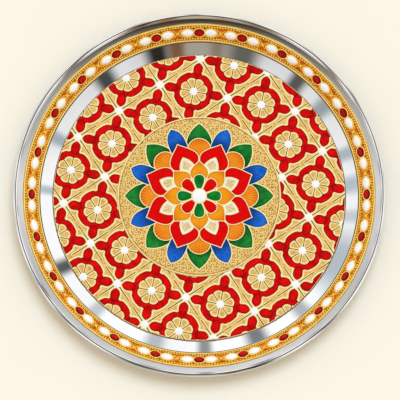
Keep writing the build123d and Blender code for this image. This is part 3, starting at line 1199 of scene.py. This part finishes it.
def stone_distance(points):
    near = np.abs(points)
    return np.minimum(polygon_distance(near, red_outline), polygon_distance(near, white_outline))


def bead_distance(points):
    place = points[:, 0] / bead_pitch - 0.5
    along = (place - np.round(place)) * bead_pitch
    return np.hypot(along, np.abs(points[:, 1]) - bead_row) - band_bead_radius


def cross_distance(points):
    """Distance from the crossed bars between two groups of stones, and their knot."""
    along = half_motif - np.abs(points[:, 0])
    across = np.abs(points[:, 1])
    way = np.array(cross_reach)
    share = np.clip((along * way[0] + across * way[1]) / (way @ way), 0, 1)
    bar = np.hypot(along - share * way[0], across - share * way[1]) - cross_half_width
    return np.minimum(bar, np.hypot(along, across) - knot_radius)


def band_relief(points):
    """Height above the band's surface, and tone from a dark groove to a pale ridge: painted shade in the
    grooves and between the beads, a painted highlight on the ridges.
    """
    stone = stone_distance(points)
    border = half_band - np.abs(points[:, 1])
    bead = bead_distance(points)
    cross = cross_distance(points)
    fields = [(stone, bezel_steps), (border, stripe_steps), (-bead, band_bead_steps), (-cross, cross_steps)]
    all_heights = [[0.35, 0.5, 0.45, 0], [0, 0.25, 0.25, 0], [0, 0.32, 0.46], [0, 0.26, 0.42]]
    all_tones = [[0.6, 0.9, 0.8, 0.3], [0.6, 0.95, 0.95, 0.15], [0.1, 0.75, 0.95], [0.15, 0.7, 0.85]]
    height = np.max([np.interp(*field, values) for field, values in zip(fields, all_heights)], 0)
    tone = np.max([np.interp(*field, values) for field, values in zip(fields, all_tones)], 0)
    # Painted shade in each bead row's gaps between the beads.
    in_row = np.abs(np.abs(points[:, 1]) - bead_row) < band_bead_radius + row_margin
    return height, np.where(in_row & (bead > 0), np.minimum(tone, 0.08), tone)


def on_band(points, height):
    """Places on the sloping wall: along it round the rim, up its slope and above its surface."""
    angle = points[:, 0] / band_surface[0]
    radius = band_surface[0] + points[:, 1] * band_along[0] + height * band_up[0]
    level = band_surface[1] + points[:, 1] * band_along[1] + height * band_up[1]
    return np.stack([radius * np.cos(angle), radius * np.sin(angle), level], 1)


def band_lines():
    """Lines of the relief on one half of a motif."""
    high = np.array([half_motif, half_band]) + band_overlap
    low = np.array([-band_overlap, -high[1]])
    lines = contours(stone_distance, bezel_steps, low, high, bezel_spacing)
    lines += contours(bead_distance, ridge_levels, low, high, bead_spacing)
    lines += contours(cross_distance, ridge_levels, low, high, cross_spacing)
    along = (np.arange(beads_in_motif // 2) + 0.5) * bead_pitch
    tops = grid_of(along, [-bead_row, bead_row]).reshape(-1, 2)
    lines.append((tops, np.zeros((0, 2), int)))
    for inset in stripe_steps:
        for level in (inset - half_band, half_band - inset):
            row = np.stack([np.linspace(0, half_motif, row_points), np.full(row_points, level)], 1)
            lines.append((row, closed_line(row)[1][:-1]))
    for end in (0, half_motif):
        lines.append((np.array([(end, -half_band), (end, half_band)]), np.array([(0, 1)])))
    return lines


def add_rim_band():
    def gold(middles):
        inside = (middles[:, 0] > 0) & (middles[:, 0] < half_motif) & (np.abs(middles[:, 1]) < half_band)
        return inside & (stone_distance(middles) > bezel_steps[0])

    places, triangles = triangulate(band_lines(), gold)
    for end in (0, half_motif):
        places[np.abs(places[:, 0] - end) < seam_tolerance, 0] = end
    height, tone = (np.tile(values, 2 * motifs) for values in band_relief(places))
    under = underside(places, triangles, gold)
    copies = [(index, side) for index in range(motifs) for side in (1, -1)]
    starts = np.arange(len(copies)) * len(places)
    triangles = np.vstack([triangles[:, ::side] + start for (_, side), start in zip(copies, starts)])
    under = np.vstack([under[:, ::side] + start for (_, side), start in zip(copies, starts)])
    places = np.vstack([places * (side, 1) + (index * motif_length, 0) for index, side in copies])
    top = on_band(places, height)
    bottom = on_band(places, np.full(len(places), -band_thickness))
    ends = np.round(np.hstack([top, bottom]), 3)
    _, first, merged = np.unique(ends, axis=0, return_index=True, return_inverse=True)
    merged = merged.reshape(-1)
    vertices, faces, source = slab(top[first], bottom[first], merged[triangles], merged[under])
    look = [embossed_gold("band_gold", orange_gold, 1000, 0.9), ["rim_band"], "band_gold"]
    add_piece("rim_gold_band", vertices, faces, *look, {"tone": tone[first][source]})


def cabochon(outline, height, edge_height):
    """A stone with a flat underside and a round top, and its distance from the edge."""
    domed = [edge_height + (height - edge_height) * sqrt(1 - share**2) for share in dome_shares]
    shares = dome_shares + [1.0, 1.0]
    count = len(outline)
    middle = outline.mean(0)
    rings = []
    for share, level in zip(shares, domed + [edge_height, 0.0]):
        rings.append(np.column_stack([middle + (outline - middle) * share, np.full(count, level)]))
    width = np.ptp(outline[:, 1]) / 2
    edge = np.concatenate([[width], np.repeat(width * (1 - np.array(shares)), count), [0]])
    return *stacked(rings, (*middle, height), (*middle, 0)), edge


def add_stones(name, node_name, outline, offsets, material, slot):
    """A stone in its seat at every offset from every motif's middle."""
    stone, stone_faces, edge = cabochon(outline, stone_height, stone_edge_height)
    seat = band_surface - band_up * stone_seat_depth
    vertices = []
    faces = []
    places = [index * motif_length + offset for index in range(motifs) for offset in offsets]
    for angle in np.array(places) / band_surface[0]:
        outward = np.array([cos(angle), sin(angle), 0])
        tangent = np.array([-sin(angle), cos(angle), 0])
        up = outward * band_up[0] + (0, 0, band_up[1])
        out = outward * band_along[0] + (0, 0, band_along[1])
        place = outward * seat[0] + (0, 0, seat[1])
        faces += [tuple(len(vertices) * len(stone) + corner for corner in face) for face in stone_faces]
        vertices.append(place - stone[:, :1] * tangent + stone[:, 1:2] * out + stone[:, 2:] * up)
    add_piece(name, np.vstack(vertices), faces, material, [node_name], slot, {"edge": edge})


# Light, floor and camera
photo_size = 400
view_elevation = radians(77.5)
view_distance = 2.4
lens = 267.0
sensor = 36.0
plate_pixel = (199.2, 195.2)
key_elevation = radians(63)
key_turn = radians(-20)
key_angle = radians(36)
aim_height = 0.006
studio_reach = 3.0
ambient_share = (0.78, 0.7, 0.6, 1.0)
key_share = [1 - share for share in ambient_share[:3]]


def add_camera():
    """The photo's view, with the tray's middle at its pixel of the photo."""
    data = bpy.data.cameras.new("camera")
    data.lens = lens
    data.sensor_width = sensor
    pixel = view_distance * sensor / lens / photo_size
    right = (photo_size / 2 - plate_pixel[0]) * pixel
    up = (plate_pixel[1] - photo_size / 2) * pixel
    aim = Vector((right, up * sin(view_elevation), up * cos(view_elevation) + aim_height))
    away = Vector((0, -cos(view_elevation), sin(view_elevation)))
    camera = linked("camera", data)
    camera.location = aim + away * view_distance
    camera.rotation_euler = (pi / 2 - view_elevation, 0, 0)
    bpy.context.scene.camera = camera


def add_key_light():
    data = bpy.data.lights.new("key", "SUN")
    data.angle = key_angle
    data.energy = max(key_share) * pi / sin(key_elevation)
    data.color = [share / max(key_share) for share in key_share]
    lamp = linked("key", data)
    lamp.rotation_euler = (key_elevation - pi / 2, 0, key_turn)
    lamp.visible_glossy = False


def add_floor():
    mesh = bpy.data.meshes.new("studio_floor")
    corners = [(-1, -1, 0), (1, -1, 0), (1, 1, 0), (-1, 1, 0)]
    mesh.from_pydata((studio_reach * np.array(corners)).tolist(), [], [(0, 1, 2, 3)])
    material, tree, shader = new_material("studio_paper", Roughness=0.9, Specular_IOR_Level=0.0)
    colour = ramp(tree, noise(tree, 3.0), [(0.3, srgb(252, 245, 228)), (0.7, srgb(254, 248, 232))])
    tree.links.new(colour, shader.inputs["Base Color"])
    mesh.materials.append(material)
    floor = linked("studio_floor", mesh)


# Cards round the studio: the low wall's angle that mirrors each card's middle, the card's half width
# as an angle of the wall, and its brightness
cards = [
    (2, 4, (0.6, 0.7, 0.78)),
    (14, 3, (0.58, 0.66, 0.74)),
    (34, 4, (0.48, 0.56, 0.6)),
    (48, 4, (0.14, 0.15, 0.13)),
    (89, 24, (0.55, 0.5, 0.43)),
    (72, 7, (0.2, 0.2, 0.17)),
    (83, 3, (0.46, 0.34, 0.24)),
    (91, 6, (0.66, 0.6, 0.5)),
    (99, 3.5, (0.34, 0.16, 0.08)),
    (107, 5.5, (0.02, 0.02, 0.018)),
    (130, 5, (0.08, 0.1, 0.11)),
    (160, 3, (0.5, 0.62, 0.68)),
    (180, 2, (0.5, 0.62, 0.68)),
    (210, 3.5, (0.09, 0.1, 0.1)),
    (230, 3, (0.76, 0.77, 0.8)),
    (254, 4, (0.7, 0.72, 0.76)),
    (272, 3, (0.38, 0.39, 0.4)),
    (291, 4.5, (0.26, 0.29, 0.31)),
    (310, 3.5, (0.62, 0.64, 0.66)),
    (332, 13, (0.6, 0.68, 0.75)),
    (350, 3, (0.78, 0.83, 0.88)),
]


def seen_azimuth(wall_angle):
    """Where the low wall, at an angle round the tray, mirrors the camera's view to."""
    slope = atan2(wall_rise, wall_run)
    angle = radians(wall_angle)
    normal = Vector((-sin(slope) * cos(angle), -sin(slope) * sin(angle), cos(slope)))
    sight = Vector((0, cos(view_elevation), -sin(view_elevation)))
    mirrored = sight - 2 * sight.dot(normal) * normal
    return atan2(mirrored.y, mirrored.x)


studio_white = (1.32, 1.32, 1.32, 1.0)
studio_zenith = (0.03, 0.03, 0.03, 1.0)
# Brightness of the wide ring over the cards, which the plain margin mirrors, from the front to the back
upper_ring = [
    (0.0, (0.07, 0.05, 0.03, 1.0)),
    (0.14, (0.28, 0.25, 0.22, 1.0)),
    (0.5, (0.9, 0.9, 0.9, 1.0)),
    (0.75, (0.66, 0.66, 0.68, 1.0)),
    (1.0, (0.9, 0.9, 0.92, 1.0)),
]
ring_front = -0.25
ring_back = 0.65
ring_tilt = 0.2
# Heights between which the ring and the ceiling fade in, and shares of a card's width between which it ends
ring_fade = (0.82, 0.88)
ceiling_fade = (0.955, 0.99)
card_fade = (0.12, 0.68)


def studio_colour(tree):
    """What polished metal sees: pale walls with darker cards, a grey ring over them and a dark ceiling."""
    direction = node(tree, "SeparateXYZ", {0: node(tree, "TexCoord").outputs["Generated"]})
    azimuth = math(tree, "ARCTAN2", direction.outputs[1], direction.outputs[0])
    colour = studio_white
    for middle, half, card in cards:
        first = seen_azimuth(middle - half)
        width = (seen_azimuth(middle + half) - first + pi) % (2 * pi) - pi
        off = math(tree, "SUBTRACT", azimuth, first + width / 2)
        off = math(tree, "ABSOLUTE", math(tree, "WRAP", off, pi, -pi))
        share = stepped(tree, off, *(abs(width) * end for end in card_fade), 1.0, 0.0)
        colour = mixed(tree, share, colour, (*card, 1.0))
    along = node(tree, "MapRange", {"Value": direction.outputs[1], 1: ring_front, 2: ring_back}).outputs[0]
    height = math(tree, "MULTIPLY_ADD", direction.outputs[1], ring_tilt, direction.outputs[2])
    colour = mixed(tree, stepped(tree, height, *ring_fade), colour, ramp(tree, along, upper_ring))
    return mixed(tree, stepped(tree, height, *ceiling_fade), colour, studio_zenith)


def add_world():
    world = bpy.data.worlds.new("studio")
    bpy.context.scene.world = world
    world.use_nodes = True
    tree = world.node_tree
    background = tree.nodes["Background"]
    path = node(tree, "LightPath")
    mirrors = math(tree, "MAXIMUM", path.outputs["Is Glossy Ray"], path.outputs["Is Transmission Ray"])
    colour = mixed(tree, mirrors, ambient_share, studio_colour(tree))
    colour = mixed(tree, path.outputs["Is Camera Ray"], colour, cream)
    tree.links.new(colour, background.inputs["Color"])


# The thali
add_steel_tray()
add_floor_sheet()
add_floor_enamel()
# The second colour of each white is its painted shade at the edges.
white_enamel = white_glaze("white_enamel", srgb(252, 250, 252), srgb(244, 236, 226), 0.3)
add_floor_dots("flower_dots", "flower_centre_dots", np.zeros(2), white_enamel)
add_floor_dots("crossing_dots", "lattice_crossing_dots", np.full(2, half_pitch), white_enamel)
add_medallion()
# Each enamel's first colour is its deep one, for its fan lines and its painted shade at the edges.
deep_green = srgb(0, 44, 2)
deep_blue = srgb(0, 32, 104)
ember = srgb(220, 98, 10)
greens = [deep_green, srgb(0, 96, 20), srgb(40, 156, 62)]
blues = [deep_blue, srgb(6, 82, 186), srgb(42, 126, 236)]
oranges = [srgb(206, 92, 4), srgb(240, 132, 20), srgb(253, 160, 40)]
inner_oranges = [srgb(206, 96, 4), srgb(246, 146, 12), srgb(253, 178, 32)]
drop_greens = [srgb(0, 26, 2), srgb(0, 92, 24), srgb(14, 140, 46)]
green = enamel("green_enamel", *greens, fan=(34.0, 110.0), fade=(54.0, 43.0, deep_green))
blue = enamel("blue_enamel", *blues, fan=(36.0, 70.0), fade=(54.0, 44.0, deep_blue))
orange = enamel("orange_enamel", *oranges, fan=(30.0, 44.0), fade=(40.0, 49.0, ember))
inner_orange = enamel("inner_orange_enamel", *inner_oranges, fan=(16.0, 44.0), fade=(21.0, 29.5, ember))
green_drop = enamel("green_drop_enamel", *drop_greens, Roughness=0.15, Specular_IOR_Level=0.2)
red = enamel("red_enamel", srgb(160, 0, 0), srgb(214, 0, 0), srgb(232, 2, 2))
add_lotus_fills("green_petals", "green_enamel", green)
add_lotus_fills("blue_petals", "blue_enamel", blue)
add_lotus_fills("outer_orange_petals", "orange_enamel", orange)
add_lotus_fills("red_petals", "red_enamel", red)
add_lotus_fills("cream_petals", "cream_enamel", cream_enamel())
add_lotus_fills("inner_orange_petals", "orange_enamel", inner_orange)
add_lotus_fills("centre_green_drops", "green_enamel", green_drop, drop_dome)
add_lotus_fills("centre_red_drops", "red_enamel", red, drop_dome)
white_stone = white_glaze("white_stone", srgb(253, 251, 251), srgb(250, 242, 228), 0.2)
add_centre_stone(white_stone)
add_rim_band()
white_shape = marquise(white_stone_length, stone_width)
white_offsets = [-white_place, white_place]
add_stones("rim_white_cabochons", "rim_white_stones", white_shape, white_offsets, white_stone, "white_stone")
add_stones("rim_red_cabochons", "rim_red_stones", red_outline, [0], red_stone_glass(), "red_stone")
glue = cured_glue()
for film in ("floor_adhesive", "medallion_adhesive", "rim_band_adhesive"):
    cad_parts[film].data.materials.clear()
    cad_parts[film].data.materials.append(glue)

# The studio
add_floor()
add_key_light()
add_world()
add_camera()
bpy.context.scene.view_settings.view_transform = "Standard"
